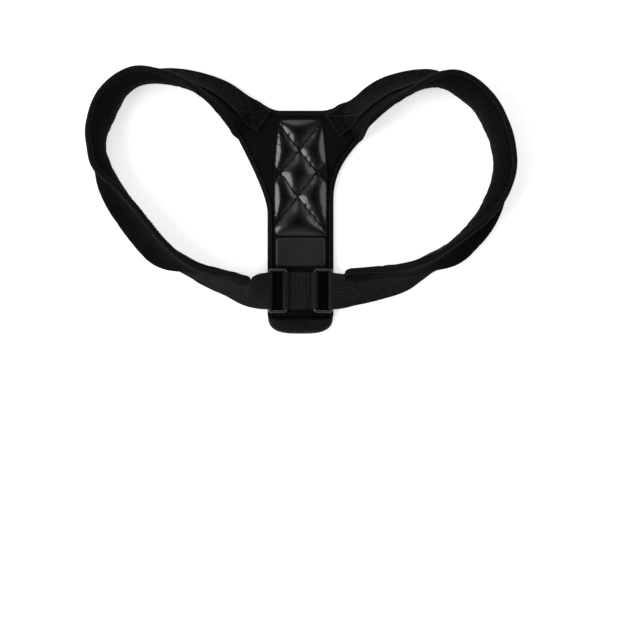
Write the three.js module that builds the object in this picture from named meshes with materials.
// A posture corrector for the upper back, laid flat on a table with its outer face up: a padded
// Y-shaped back panel, two padded shoulder straps that leave its arms, loop round and come back
// to two wire rings low on the panel, and the tapes, patches and bindings sewn to them.
//
// Units are millimetres. X runs across the back, Y up the spine and Z up from the table.
// Places on the panel are measured from the middle of its underside.
import * as THREE from "three";

// Clearances
const SEWN_GAP = 0.3; // between two pieces that are sewn face to face

// Back panel
const PANEL_LENGTH = 223;
const PANEL_THICKNESS = 6.5;
const COLUMN_WIDTH = 66;
const CAP_WIDTH = 65;
const CAP_LENGTH = 17;
const CAP_THICKNESS = 7.5;
const NECK_RISE = 112; // from the panel's middle up to its neck edge
const NECK_FLAT = 40; // the straight middle of the neck edge
const PANEL_ROUNDING = 0.8;
const CAP_ROUNDING = 1.8;

const ARM_REACH = 50.5; // from the spine to the middle of the left arm's end
const ARM_RISE = 101.5; // from the panel's middle up to the same place

// The panel's two arms. reach places the middle of an arm's end as a share of ARM_REACH, rise and
// start are shares of ARM_RISE, and angle is in degrees above the X axis. The panel's side begins
// to spread at the level start.
const ARM = {
  left: { reach: 1, rise: 1, angle: 33.5, start: 0.08 },
  right: { reach: 0.91, rise: 0.96, angle: 36.5, start: 0.2 },
};

// The bend of each side, as the places of its two guide points: shares of the way out from the
// column's edge to the arm's corner, and of the way up from the start to that corner.
const SIDE_BEND = {
  left: { upperOut: 0.27, upperUp: 0.45, lowerUp: 0.18 },
  right: { upperOut: 0.12, upperUp: 0.6, lowerUp: 0.3 },
};

// Bindings folded over the edges
const BINDING_WIDTH = 5;
const BINDING_PROUD = 0.6;
const EDGE_ROUNDING = 1.2;

// Shoulder straps
const STRAP_WIDTH = 43;
const STRAP_THICKNESS = PANEL_THICKNESS;
const TONGUE_WIDTH = 15;
const TONGUE_ROUNDING = 9;
const TONGUE_DROP = 7; // how far the tongue's bound edge turns in at its tip

// Tape sewn along the outer face of each arm and strap
const TAPE_WIDTH = 27.5;
const TAPE_THICKNESS = 1.5;
const TAPE_LAP = 13.4; // how far the tape runs back over the panel's arm

// Webbing that holds the rings
const WEBBING_WIDTH = 37.5;
const WEBBING_THICKNESS = 1.5;
const WEBBING_RETURN = 20; // the end that is folded back under itself at the ring

// Rings
const RING_WIRE = 3;
const RING_PLAY = 1; // between the webbing and the ring's ends
const RING_INNER_BAR = 14.5; // from the spine to the middle of the inner bar
const RING_OUTER_BAR = 31;
const RING_CORNER_RADIUS = 2.4;
const RING_CORNER_STEPS = 3;
const RING_DROP = 68; // from the panel's middle down to the rings' middle

// Patches
const QUILT_TOP_WIDTH = 47;
const QUILT_WIDTH = 54;
const QUILT_LENGTH = 118;
const QUILT_RISE = 45; // from the panel's middle up to the quilted patch's middle
const QUILT_PATTERN_RISE = 4; // from there up to the middle of the whole diamond
const QUILT_BASE = 1.4;
const QUILT_PUFF = 4.6;
const QUILT_SLOPE = 8; // from the patch's edge up to the full height of its cushions
const DIAMOND_WIDTH = 36;
const DIAMOND_LENGTH = 46;
const LABEL_WIDTH = 49;
const LABEL_LENGTH = 28;
const LABEL_THICKNESS = 1.4;
const LABEL_CORNER = 2;
const LABEL_ROUNDING = 0.4;
const PATCH_SPACE = 1.2; // between the two patches

// Loops, as the size that their tables share out
const LOOP_REACH = 217; // from the spine to the outermost edge of a loop
const LOOP_HEIGHT = 223; // from the rings' middle up to the top of a loop

// One row for each section of a loop, from the arm's end (first) to the ring (last).
// across and up place the middle of the section, as shares of LOOP_REACH and LOOP_HEIGHT.
// lean is the strap's roll in degrees: 0 lies flat with its outer face up, 90 stands on its neck
// edge, and past 90 the strap leans outwards and shows its lining. bend is how far the section
// curls round its outer face, in degrees from edge to edge, all in the middle part that BEND_SHARE
// gives as a share of its width. lift is how high its foot is, as a share of STRAP_WIDTH.
const LEFT_LOOP = [
  { across: 0.285, up: 0.797, lean: 33, bend: 12, lift: 0 },
  { across: 0.382, up: 0.866, lean: 50, bend: 35, lift: 0 },
  { across: 0.531, up: 0.924, lean: 75, bend: 60, lift: 0 },
  { across: 0.666, up: 0.939, lean: 94, bend: 80, lift: 0 },
  { across: 0.768, up: 0.923, lean: 115, bend: 80, lift: 0 },
  { across: 0.859, up: 0.847, lean: 129, bend: 60, lift: 0 },
  { across: 0.904, up: 0.738, lean: 124, bend: 60, lift: 0 },
  { across: 0.91, up: 0.649, lean: 106, bend: 80, lift: 0 },
  { across: 0.89, up: 0.57, lean: 94, bend: 110, lift: 0 },
  { across: 0.841, up: 0.469, lean: 62, bend: 95, lift: 0 },
  { across: 0.774, up: 0.362, lean: 49, bend: 80, lift: 0 },
  { across: 0.646, up: 0.2, lean: 51, bend: 60, lift: 0 },
  { across: 0.522, up: 0.122, lean: 65, bend: 60, lift: 0.02 },
  { across: 0.415, up: 0.066, lean: 58, bend: 50, lift: 0.05 },
  { across: 0.325, up: 0.035, lean: 48, bend: 40, lift: 0.1 },
  { across: 0.236, up: -0.003, lean: 35, bend: 25, lift: 0.16 },
];
const RIGHT_LOOP = [
  { across: 0.275, up: 0.784, lean: 44, bend: 15, lift: 0 },
  { across: 0.387, up: 0.866, lean: 47, bend: 35, lift: 0 },
  { across: 0.511, up: 0.908, lean: 60, bend: 58, lift: 0 },
  { across: 0.624, up: 0.922, lean: 87, bend: 90, lift: 0 },
  { across: 0.725, up: 0.897, lean: 126, bend: 85, lift: 0 },
  { across: 0.826, up: 0.82, lean: 127, bend: 65, lift: 0 },
  { across: 0.888, up: 0.707, lean: 125, bend: 60, lift: 0 },
  { across: 0.909, up: 0.596, lean: 122, bend: 80, lift: 0 },
  { across: 0.9, up: 0.515, lean: 114, bend: 105, lift: 0 },
  { across: 0.867, up: 0.425, lean: 90, bend: 150, lift: 0 },
  { across: 0.806, up: 0.317, lean: 68, bend: 125, lift: 0 },
  { across: 0.701, up: 0.204, lean: 58, bend: 85, lift: 0 },
  { across: 0.583, up: 0.126, lean: 63, bend: 60, lift: 0.02 },
  { across: 0.462, up: 0.061, lean: 44, bend: 45, lift: 0.05 },
  { across: 0.353, up: 0.033, lean: 29, bend: 30, lift: 0.1 },
  { across: 0.242, up: 0.011, lean: 18, bend: 12, lift: 0.16 },
];

const BEND_SHARE = 0.5;
const SECTIONS_PER_ROW = 3;

// Where along its loop each piece starts or ends, in rows of the loop's table.
const ROW = {
  tapeEnd: 5.5,
  tongueStart: 12,
  tongueNarrow: 14.8,
  tongueTip: { left: 15.9, right: 16.3 },
  webbingStart: 12.2,
};

// Levels above the table
const PANEL_TOP = PANEL_THICKNESS;
const TAPE_OFFSET = STRAP_THICKNESS / 2 + SEWN_GAP;
const WRAP_RADIUS = RING_WIRE / 2 + SEWN_GAP; // inside of the webbing's turn round a bar
const WRAP_MIDDLE = WRAP_RADIUS + WEBBING_THICKNESS / 2;
const WRAP_OUTSIDE = WRAP_RADIUS + WEBBING_THICKNESS;
const RING_LEVEL = PANEL_TOP + BINDING_PROUD + SEWN_GAP + WRAP_OUTSIDE;
const WEBBING_OFFSET = -(STRAP_THICKNESS / 2 + SEWN_GAP + WEBBING_THICKNESS / 2);
const RING_ROW_LIFT = RING_LEVEL + WRAP_RADIUS;

const FABRIC = { colour: 0x0d0d0f, roughness: 0.9 };
const WEAVE = { colour: 0x1c1c1f, roughness: 0.75 };
const LEATHER = { colour: 0x0b0b0c, roughness: 0.28 };
const RUBBER = { colour: 0x161617, roughness: 0.5 };
const WIRE = { colour: 0x1a1a1c, roughness: 0.25, metalness: 0.6 };

const degrees = THREE.MathUtils.degToRad;
const mix = THREE.MathUtils.lerp;
const smooth = THREE.MathUtils.smoothstep;

function piece(name, geometry, finish) {
  const material = new THREE.MeshStandardMaterial({
    color: finish.colour,
    roughness: finish.roughness,
    metalness: finish.metalness ?? 0,
  });
  const mesh = new THREE.Mesh(geometry, material);
  mesh.name = name;
  return mesh;
}

// A closed solid through sections of the same number of points, each listed round its outline
// as an upper row followed by a lower row in the opposite order. Its ends are closed by strips
// between the two rows, or its last section joins its first. The faces of both rows are split
// the same way, so that two solids laid on each other twist alike.
function loft(sections, joined = false) {
  const around = sections[0].length;
  const positions = sections.flat().flatMap((p) => [p.x, p.y, p.z]);
  const faces = [];
  const quad = (a, b, c, d) => faces.push(a, b, c, a, c, d);
  const steps = joined ? sections.length : sections.length - 1;
  for (let i = 0; i < steps; i++) {
    const here = i * around;
    const next = ((i + 1) % sections.length) * around;
    for (let j = 0; j < around; j++) {
      const k = (j + 1) % around;
      if (j < around / 2) quad(here + j, here + k, next + k, next + j);
      else quad(next + j, here + j, here + k, next + k);
    }
  }
  if (!joined) {
    const last = (sections.length - 1) * around;
    for (let j = 0; j < around / 2 - 1; j++) {
      const opposite = around - 1 - j;
      quad(opposite, opposite - 1, j + 1, j);
      quad(last + j, last + j + 1, last + opposite - 1, last + opposite);
    }
  }
  const geometry = new THREE.BufferGeometry();
  geometry.setAttribute("position", new THREE.Float32BufferAttribute(positions, 3));
  geometry.setIndex(faces);
  if (signedVolume(geometry) < 0) {
    for (let i = 0; i < faces.length; i += 3) [faces[i], faces[i + 1]] = [faces[i + 1], faces[i]];
    geometry.setIndex(faces);
  }
  return geometry;
}

function signedVolume(geometry) {
  const position = geometry.getAttribute("position");
  const index = geometry.getIndex();
  const [a, b, c] = [new THREE.Vector3(), new THREE.Vector3(), new THREE.Vector3()];
  let total = 0;
  for (let i = 0; i < index.count; i += 3) {
    a.fromBufferAttribute(position, index.getX(i));
    b.fromBufferAttribute(position, index.getX(i + 1));
    c.fromBufferAttribute(position, index.getX(i + 2));
    total += a.dot(b.cross(c)) / 6;
  }
  return total;
}

// The section of a flat slab between the levels v0 and v1: its upper points over the lines given,
// then its lower ones back. Its first and last lines are thinned to a share of its thickness.
function slabSection(lines, v0, v1, firstShare = 0.4, lastShare = 0.4) {
  const middle = (v0 + v1) / 2;
  const upper = [];
  const lower = [];
  lines.forEach((u, i) => {
    let half = (v1 - v0) / 2;
    if (i === 0) half *= firstShare;
    if (i === lines.length - 1) half *= lastShare;
    upper.push([u, middle + half]);
    lower.unshift([u, middle - half]);
  });
  return [...upper, ...lower];
}

function evenly(from, to, steps) {
  return Array.from({ length: steps + 1 }, (_, i) => mix(from, to, i / steps));
}

// The sections of the pieces that run along a loop. Their u is measured across the strap from its
// neck edge, and their v from the strap's middle towards its outer face. The strap and the tape
// over it bend at the same lines, so the gap between them stays even.
const STRAP_HALF = STRAP_THICKNESS / 2;
const BEND_REACH = (BEND_SHARE * STRAP_WIDTH) / 2;
const STRAP_EDGE = STRAP_WIDTH - BINDING_WIDTH - SEWN_GAP;
const TAPE_LINES = evenly(EDGE_ROUNDING, TAPE_WIDTH, 4);
const STRAP_LINES = [0, ...TAPE_LINES, mix(TAPE_WIDTH, STRAP_EDGE, 0.5), STRAP_EDGE];
const BINDING_LINES = [STRAP_WIDTH - BINDING_WIDTH, STRAP_WIDTH - EDGE_ROUNDING, STRAP_WIDTH];
const BINDING_TOP = STRAP_HALF + BINDING_PROUD;
const WEBBING_NEAR = (STRAP_WIDTH - WEBBING_WIDTH) / 2;
const WEBBING_HALF = WEBBING_THICKNESS / 2;
const WEBBING_LINES = evenly(WEBBING_NEAR, WEBBING_NEAR + WEBBING_WIDTH, 6);
const STRAP_SECTION = slabSection(STRAP_LINES, -STRAP_HALF, STRAP_HALF, 0.4, 1);
const BINDING_SECTION = slabSection(BINDING_LINES, -STRAP_HALF, BINDING_TOP, 1, 0.4);
const TAPE_SECTION = slabSection(TAPE_LINES, TAPE_OFFSET, TAPE_OFFSET + TAPE_THICKNESS);
const WEBBING_LAYER = slabSection(WEBBING_LINES, -WEBBING_HALF, WEBBING_HALF);
const WEBBING_SECTION = WEBBING_LAYER.map(([u, v]) => [u, v + WEBBING_OFFSET]);

// A loop's course: cubic pieces through its rows, with set directions at the arm and the ring.
function course(rows, side) {
  const { reach, rise, angle } = side > 0 ? ARM.left : ARM.right;
  const arm = { heading: Math.PI - degrees(angle), x: -reach * ARM_REACH, y: rise * ARM_RISE };
  const places = [
    { x: arm.x, y: arm.y, lean: 0, bend: 0, lift: 0 },
    ...rows.map((row) => ({
      x: -row.across * LOOP_REACH,
      y: row.up * LOOP_HEIGHT - RING_DROP,
      lean: degrees(row.lean),
      bend: degrees(row.bend),
      lift: row.lift * STRAP_WIDTH,
    })),
    { x: -RING_OUTER_BAR, y: -RING_DROP, lean: 0, bend: 0, lift: RING_ROW_LIFT },
  ];
  const last = places.length - 1;
  const armStep = Math.hypot(places[1].x - arm.x, places[1].y - arm.y);
  const ringStep = Math.hypot(places[last].x - places[last - 1].x, places[last].y - places[last - 1].y);
  const slope = (key, i) => {
    if (i === 0) {
      if (key === "x") return armStep * Math.cos(arm.heading);
      return key === "y" ? armStep * Math.sin(arm.heading) : 0;
    }
    if (i === last) return key === "x" ? ringStep : 0;
    return (places[i + 1][key] - places[i - 1][key]) / 2;
  };
  const value = (key, row) => {
    if (row < 0) return places[0][key] + slope(key, 0) * row;
    const i = Math.min(Math.floor(row), last - 1);
    const t = row - i;
    const [a, b] = [places[i][key], places[i + 1][key]];
    const [da, db] = [slope(key, i), slope(key, i + 1)];
    const bend = 2 * a - 2 * b + da + db;
    return a + t * (da + t * (3 * (b - a) - 2 * da - db + t * bend));
  };
  const nudge = 1e-3;
  const frame = (row) => {
    const ahead = Math.min(row + nudge, last);
    const dx = value("x", ahead) - value("x", ahead - nudge);
    const dy = value("y", ahead) - value("y", ahead - nudge);
    const long = Math.hypot(dx, dy);
    const outward = new THREE.Vector3(dy / long, -dx / long, 0);
    const lean = value("lean", row);
    return {
      middle: new THREE.Vector3(value("x", row), value("y", row), 0),
      across: new THREE.Vector3(0, 0, Math.sin(lean)).addScaledVector(outward, -Math.cos(lean)),
      face: new THREE.Vector3(0, 0, Math.cos(lean)).addScaledVector(outward, Math.sin(lean)),
      curl: Math.max(value("bend", row), 1e-3) / (BEND_SHARE * STRAP_WIDTH),
    };
  };
  const onFrame = ({ middle, across, face, curl }, u, v) => {
    const fromMiddle = u - STRAP_WIDTH / 2;
    const curled = THREE.MathUtils.clamp(fromMiddle, -BEND_REACH, BEND_REACH);
    const straight = fromMiddle - curled;
    const turn = curled * curl;
    const radius = 1 / curl - v;
    return middle
      .clone()
      .addScaledVector(across, radius * Math.sin(turn) + straight * Math.cos(turn))
      .addScaledVector(face, 1 / curl - radius * Math.cos(turn) + straight * Math.sin(turn));
  };
  const lowest = (here, outline) => Math.min(...outline.map(([u, v]) => onFrame(here, u, v).z));
  const foot = (row) => {
    const here = frame(row);
    const bare = Math.min(lowest(here, STRAP_SECTION), lowest(here, BINDING_SECTION));
    const taped = Math.min(bare, lowest(here, TAPE_SECTION));
    const webbed = Math.min(bare, lowest(here, WEBBING_SECTION));
    const tapedFoot = mix(taped, bare, smooth(row, ROW.tapeEnd, ROW.tapeEnd + 1));
    const webbedFoot = mix(bare, webbed, smooth(row, ROW.webbingStart - 1, ROW.webbingStart));
    return value("lift", row) - Math.min(tapedFoot, webbedFoot);
  };
  const section = (row, outline) => {
    const here = frame(row);
    here.middle.z = foot(row);
    return outline.map(([u, v]) => {
      const p = onFrame(here, u, v);
      p.x *= side;
      return p;
    });
  };
  const rowLength = (row) => Math.hypot(slope("x", row), slope("y", row));
  return { last, section, rowLength };
}

// Rows from one to another, with all those between them that the pieces of a loop share.
function sharedRows(from, to) {
  const rows = [from];
  const first = Math.floor(from * SECTIONS_PER_ROW) + 1;
  for (let i = first; i < to * SECTIONS_PER_ROW; i++) rows.push(i / SECTIONS_PER_ROW);
  return [...rows, to];
}

function alongLoop(loop, from, to, sectionAt) {
  return loft(sharedRows(from, to).map((row) => loop.section(row, sectionAt(row))));
}

// How much of the tongue's full width is left near its round tip, and how far its bound edge has
// turned in there.
function tongueRound(loop, row, tip) {
  const fromTip = (tip - row) * loop.rowLength(loop.last);
  return Math.sqrt(Math.max(1 - (1 - Math.min(fromTip / TONGUE_ROUNDING, 1)) ** 2, 0.01));
}

function tongueDrop(loop, row, tip) {
  return TONGUE_DROP * (1 - tongueRound(loop, row, tip));
}

// The strap narrows to a tongue on its armhole side, and the tongue's tip is round.
function strap(name, loop, tip) {
  const sectionAt = (row) => {
    const narrowed = smooth(row, ROW.tongueStart, ROW.tongueNarrow);
    const near = mix(0, STRAP_WIDTH - TONGUE_WIDTH, narrowed);
    const far = STRAP_EDGE - tongueDrop(loop, row, tip);
    const edge = mix(far, near, tongueRound(loop, row, tip));
    const lines = STRAP_LINES.map((u) => mix(edge, far, u / STRAP_EDGE));
    return slabSection(lines, -STRAP_HALF, STRAP_HALF, 0.4, 1);
  };
  const start = SEWN_GAP / loop.rowLength(0);
  return piece(name, alongLoop(loop, start, tip, sectionAt), FABRIC);
}

function strapBinding(name, loop, tip) {
  const start = SEWN_GAP / loop.rowLength(0);
  const sectionAt = (row) => {
    const drop = tongueDrop(loop, row, tip);
    return BINDING_SECTION.map(([u, v]) => [u - drop, v]);
  };
  return piece(name, alongLoop(loop, start, tip, sectionAt), FABRIC);
}

function armTape(name, loop, lap) {
  const start = -lap / loop.rowLength(0);
  return piece(name, alongLoop(loop, start, ROW.tapeEnd, () => TAPE_SECTION), WEAVE);
}

// The webbing comes from under the strap, turns round the ring's outer bar and ends in a short
// return below itself.
function ringWebbing(name, loop, side) {
  const rows = sharedRows(ROW.webbingStart, loop.last).slice(0, -1);
  const sections = rows.map((row) => loop.section(row, WEBBING_SECTION));
  const turns = 10;
  for (let i = 0; i <= turns; i++) {
    const angle = Math.PI / 2 - (Math.PI * i) / turns;
    sections.push(
      WEBBING_LAYER.map(([u, v]) => {
        const reach = WRAP_MIDDLE + v;
        return new THREE.Vector3(
          side * (-RING_OUTER_BAR + reach * Math.cos(angle)),
          -RING_DROP + u - STRAP_WIDTH / 2,
          RING_LEVEL + reach * Math.sin(angle),
        );
      }),
    );
  }
  const returnRows = WEBBING_RETURN / loop.rowLength(loop.last);
  const closeBy = WEBBING_THICKNESS + SEWN_GAP;
  const returnSteps = 6;
  for (let i = 1; i <= returnSteps; i++) {
    const row = loop.last - (returnRows * i) / returnSteps;
    const below = mix(2 * WRAP_MIDDLE, closeBy, smooth(i, 0, 4));
    const flipped = WEBBING_LAYER.map(([u, v]) => [u, WEBBING_OFFSET - below - v]);
    sections.push(loop.section(row, flipped));
  }
  return piece(name, loft(sections), WEAVE);
}

// A wire ring: a rounded rectangle of round section, with its long sides along Y.
function ring(name, side) {
  const inner = RING_INNER_BAR;
  const outer = RING_OUTER_BAR;
  const half = (WEBBING_WIDTH + RING_PLAY + RING_WIRE) / 2;
  const corners = [
    { x: outer, y: half, turn: 0 },
    { x: inner, y: half, turn: 1 },
    { x: inner, y: -half, turn: 2 },
    { x: outer, y: -half, turn: 3 },
  ];
  const middle = new THREE.Vector2((inner + outer) / 2, 0);
  const sections = [];
  for (const corner of corners) {
    const cx = corner.x + Math.sign(middle.x - corner.x) * RING_CORNER_RADIUS;
    const cy = corner.y - Math.sign(corner.y) * RING_CORNER_RADIUS;
    for (let i = 0; i <= RING_CORNER_STEPS; i++) {
      const angle = (corner.turn + i / RING_CORNER_STEPS) * (Math.PI / 2);
      const out = new THREE.Vector3(Math.cos(angle), Math.sin(angle), 0);
      const place = new THREE.Vector3(cx, cy, 0).addScaledVector(out, RING_CORNER_RADIUS);
      sections.push(ringSection(place, out, side));
    }
  }
  return piece(name, loft(sections, true), WIRE);
}

function ringSection(place, out, side) {
  const sides = 8;
  const points = [];
  for (let i = 0; i < sides; i++) {
    const angle = (2 * Math.PI * i) / sides;
    const p = place.clone().addScaledVector(out, (RING_WIRE / 2) * Math.cos(angle));
    p.z += RING_LEVEL + (RING_WIRE / 2) * Math.sin(angle);
    p.y -= RING_DROP;
    p.x *= side;
    points.push(p);
  }
  return points;
}

// The short strap between the rings: sewn down in the middle, with a loop round each inner bar.
function ringStrap() {
  const shape = new THREE.Shape();
  const level = RING_LEVEL;
  const bottom = PANEL_TOP + SEWN_GAP;
  const top = bottom + 2 * WEBBING_THICKNESS;
  const rise = top - level;
  const meet = Math.acos(Math.max(-1, Math.min(1, rise / WRAP_OUTSIDE)));
  const reach = WRAP_OUTSIDE * Math.sin(meet);
  shape.moveTo(-RING_INNER_BAR, level - WRAP_OUTSIDE);
  shape.lineTo(RING_INNER_BAR, level - WRAP_OUTSIDE);
  shape.absarc(RING_INNER_BAR, level, WRAP_OUTSIDE, -Math.PI / 2, Math.PI / 2 + meet, false);
  shape.lineTo(-RING_INNER_BAR + reach, top);
  shape.absarc(-RING_INNER_BAR, level, WRAP_OUTSIDE, Math.PI / 2 - meet, (3 * Math.PI) / 2, false);
  for (const x of [-RING_INNER_BAR, RING_INNER_BAR]) {
    shape.holes.push(new THREE.Path().absarc(x, level, WRAP_RADIUS, 0, 2 * Math.PI, true));
  }
  const options = { depth: WEBBING_WIDTH, bevelEnabled: false, curveSegments: 8 };
  const geometry = new THREE.ExtrudeGeometry(shape, options);
  geometry.rotateX(Math.PI / 2);
  geometry.translate(0, -RING_DROP + WEBBING_WIDTH / 2, 0);
  return piece("ring_strap", geometry, WEAVE);
}

// One half of the panel's outline, drawn to the right: its neck edge from the spine to the arm's
// upper corner, and its side from the arm's lower corner down to the cap.
function panelHalf(name, inset) {
  const { reach, rise, angle } = ARM[name];
  const start = ARM[name].start * ARM_RISE;
  const side = new THREE.Vector2(-Math.sin(degrees(angle)), Math.cos(degrees(angle)));
  const end = new THREE.Vector2(reach * ARM_REACH, rise * ARM_RISE);
  const neckCorner = end.clone().addScaledVector(side, STRAP_WIDTH / 2);
  const holeCorner = end.clone().addScaledVector(side, -STRAP_WIDTH / 2);
  const top = NECK_RISE;
  const half = COLUMN_WIDTH / 2;
  const neck = new THREE.Path();
  neck.moveTo(0, top);
  neck.lineTo(NECK_FLAT / 2, top);
  neck.quadraticCurveTo(mix(NECK_FLAT / 2, neckCorner.x, 0.45), top, neckCorner.x, neckCorner.y);
  const edge = new THREE.Path();
  edge.moveTo(holeCorner.x, holeCorner.y);
  const { upperOut, upperUp, lowerUp } = SIDE_BEND[name];
  edge.bezierCurveTo(
    mix(half, holeCorner.x, upperOut), mix(start, holeCorner.y, upperUp),
    half, mix(start, holeCorner.y, lowerUp),
    half, start,
  );
  edge.lineTo(half, top - PANEL_LENGTH + CAP_LENGTH + SEWN_GAP);
  const down = new THREE.Vector2(0, -1);
  const inward = new THREE.Vector2(-1, 0);
  return {
    top,
    neck: insetPath(neck.getPoints(7), inset, down, side.clone().negate()),
    edge: insetPath(edge.getPoints(14), inset, side, inward),
  };
}

// Points moved square to their path by a distance, towards the right-hand side of its direction.
function insetPath(points, distance, firstNormal, lastNormal) {
  const last = points.length - 1;
  return points.map((point, i) => {
    let normal = i === 0 ? firstNormal : lastNormal;
    if (i > 0 && i < last) {
      const along = points[i + 1].clone().sub(points[i - 1]).normalize();
      normal = new THREE.Vector2(along.y, -along.x);
    }
    return point.clone().addScaledVector(normal, distance);
  });
}

function mirrored(points) {
  return points.map((p) => new THREE.Vector2(-p.x, p.y)).reverse();
}

function paddedSlab(outline, thickness, rounding) {
  const geometry = new THREE.ExtrudeGeometry(new THREE.Shape(outline), {
    depth: thickness - 2 * rounding,
    bevelThickness: rounding,
    bevelSize: rounding,
    bevelOffset: -rounding,
    bevelSegments: 2,
  });
  geometry.translate(0, 0, rounding);
  return geometry;
}

function backPanel() {
  const [left, right] = ["left", "right"].map((name) => panelHalf(name, BINDING_WIDTH + SEWN_GAP));
  const leftSide = mirrored([...left.neck.slice(1), ...left.edge]);
  const outline = [...right.neck, ...right.edge, ...leftSide];
  return piece("back_panel", paddedSlab(outline, PANEL_THICKNESS, PANEL_ROUNDING), FABRIC);
}

function bottomCap() {
  const half = CAP_WIDTH / 2;
  const { top } = panelHalf("right", 0);
  const foot = top - PANEL_LENGTH;
  const shape = new THREE.Shape();
  shape.moveTo(half, foot + CAP_LENGTH);
  const low = foot + CAP_LENGTH * 0.2;
  shape.bezierCurveTo(half, low, half * 0.66, foot, half * 0.15, foot);
  shape.lineTo(-half * 0.15, foot);
  shape.bezierCurveTo(-half * 0.66, foot, -half, low, -half, foot + CAP_LENGTH);
  return piece("bottom_cap", paddedSlab(shape.getPoints(8), CAP_THICKNESS, CAP_ROUNDING), FABRIC);
}

// A band of cloth folded over an edge, between the edge's outline and the same outline set in.
function edgeBinding(name, outer, inner, thickness) {
  const sections = outer.map((start, i) => {
    const inward = inner[i].clone().sub(start).normalize();
    return slabSection([0, EDGE_ROUNDING, BINDING_WIDTH], 0, thickness, 0.4, 1).map(([u, v]) => {
      const p = start.clone().addScaledVector(inward, u);
      return new THREE.Vector3(p.x, p.y, v);
    });
  });
  return piece(name, loft(sections), FABRIC);
}

function bindings() {
  const proud = PANEL_THICKNESS + BINDING_PROUD;
  const outer = { left: panelHalf("left", 0), right: panelHalf("right", 0) };
  const inner = {
    left: panelHalf("left", BINDING_WIDTH),
    right: panelHalf("right", BINDING_WIDTH),
  };
  const neck = ({ left, right }) => [...mirrored(left.neck), ...right.neck.slice(1)];
  return [
    edgeBinding("neck_binding", neck(outer), neck(inner), PANEL_THICKNESS),
    edgeBinding("side_binding_right", outer.right.edge, inner.right.edge, proud),
    edgeBinding("side_binding_left", mirrored(outer.left.edge), mirrored(inner.left.edge), proud),
  ];
}

// How far a place on the quilted patch rises over its base, from 0 at a seam to 1 on a cushion.
function cushion(x, y, edge) {
  const rising = Math.abs(Math.abs(x / DIAMOND_WIDTH + y / DIAMOND_LENGTH) - 0.5);
  const falling = Math.abs(Math.abs(x / DIAMOND_WIDTH - y / DIAMOND_LENGTH) - 0.5);
  const swell = (share) => 1 - (1 - Math.min(share, 1)) ** 2;
  return swell(rising / 0.35) * swell(falling / 0.35) * swell(edge / QUILT_SLOPE);
}

function quiltedPatch() {
  const base = PANEL_TOP + SEWN_GAP;
  const rows = 24;
  const columns = 12;
  const sections = [];
  for (let i = 0; i <= rows; i++) {
    const y = (i / rows - 0.5) * QUILT_LENGTH;
    const half = mix(QUILT_WIDTH, QUILT_TOP_WIDTH, smooth(y, 0, QUILT_LENGTH / 2)) / 2;
    const upper = [];
    const lower = [];
    for (let j = 0; j <= columns; j++) {
      const x = (j / columns - 0.5) * 2 * half;
      const edge = Math.min(half - Math.abs(x), QUILT_LENGTH / 2 - Math.abs(y));
      const z = base + QUILT_BASE + QUILT_PUFF * cushion(x, y - QUILT_PATTERN_RISE, edge);
      upper.push(new THREE.Vector3(x, y + QUILT_RISE, z));
      lower.unshift(new THREE.Vector3(x, y + QUILT_RISE, base));
    }
    sections.push([...upper, ...lower]);
  }
  return piece("quilted_patch", loft(sections), LEATHER);
}

function labelPatch() {
  const top = QUILT_RISE - QUILT_LENGTH / 2 - PATCH_SPACE;
  const half = LABEL_WIDTH / 2;
  const corner = LABEL_CORNER;
  const shape = new THREE.Shape();
  shape.moveTo(-half + corner, top - LABEL_LENGTH);
  shape.lineTo(half - corner, top - LABEL_LENGTH);
  shape.quadraticCurveTo(half, top - LABEL_LENGTH, half, top - LABEL_LENGTH + corner);
  shape.lineTo(half, top - corner);
  shape.quadraticCurveTo(half, top, half - corner, top);
  shape.lineTo(-half + corner, top);
  shape.quadraticCurveTo(-half, top, -half, top - corner);
  shape.lineTo(-half, top - LABEL_LENGTH + corner);
  shape.quadraticCurveTo(-half, top - LABEL_LENGTH, -half + corner, top - LABEL_LENGTH);
  const geometry = paddedSlab(shape.getPoints(3), LABEL_THICKNESS, LABEL_ROUNDING);
  geometry.translate(0, 0, PANEL_TOP + SEWN_GAP);
  return piece("label_patch", geometry, RUBBER);
}

const brace = new THREE.Group();
brace.name = "posture_corrector";
brace.add(backPanel(), bottomCap(), ...bindings(), quiltedPatch(), labelPatch(), ringStrap());
for (const [name, rows, side] of [["left", LEFT_LOOP, 1], ["right", RIGHT_LOOP, -1]]) {
  const loop = course(rows, side);
  brace.add(
    strap(`strap_${name}`, loop, ROW.tongueTip[name]),
    strapBinding(`strap_binding_${name}`, loop, ROW.tongueTip[name]),
    armTape(`arm_tape_${name}`, loop, TAPE_LAP),
    ringWebbing(`ring_webbing_${name}`, loop, side),
    ring(`ring_${name}`, -side),
  );
}

// The origin is the middle of the area it covers, on the table.
const extent = new THREE.Box3().setFromObject(brace);
const middle = extent.getCenter(new THREE.Vector3());
brace.position.set(-middle.x, -middle.y, -extent.min.z);

export default brace;
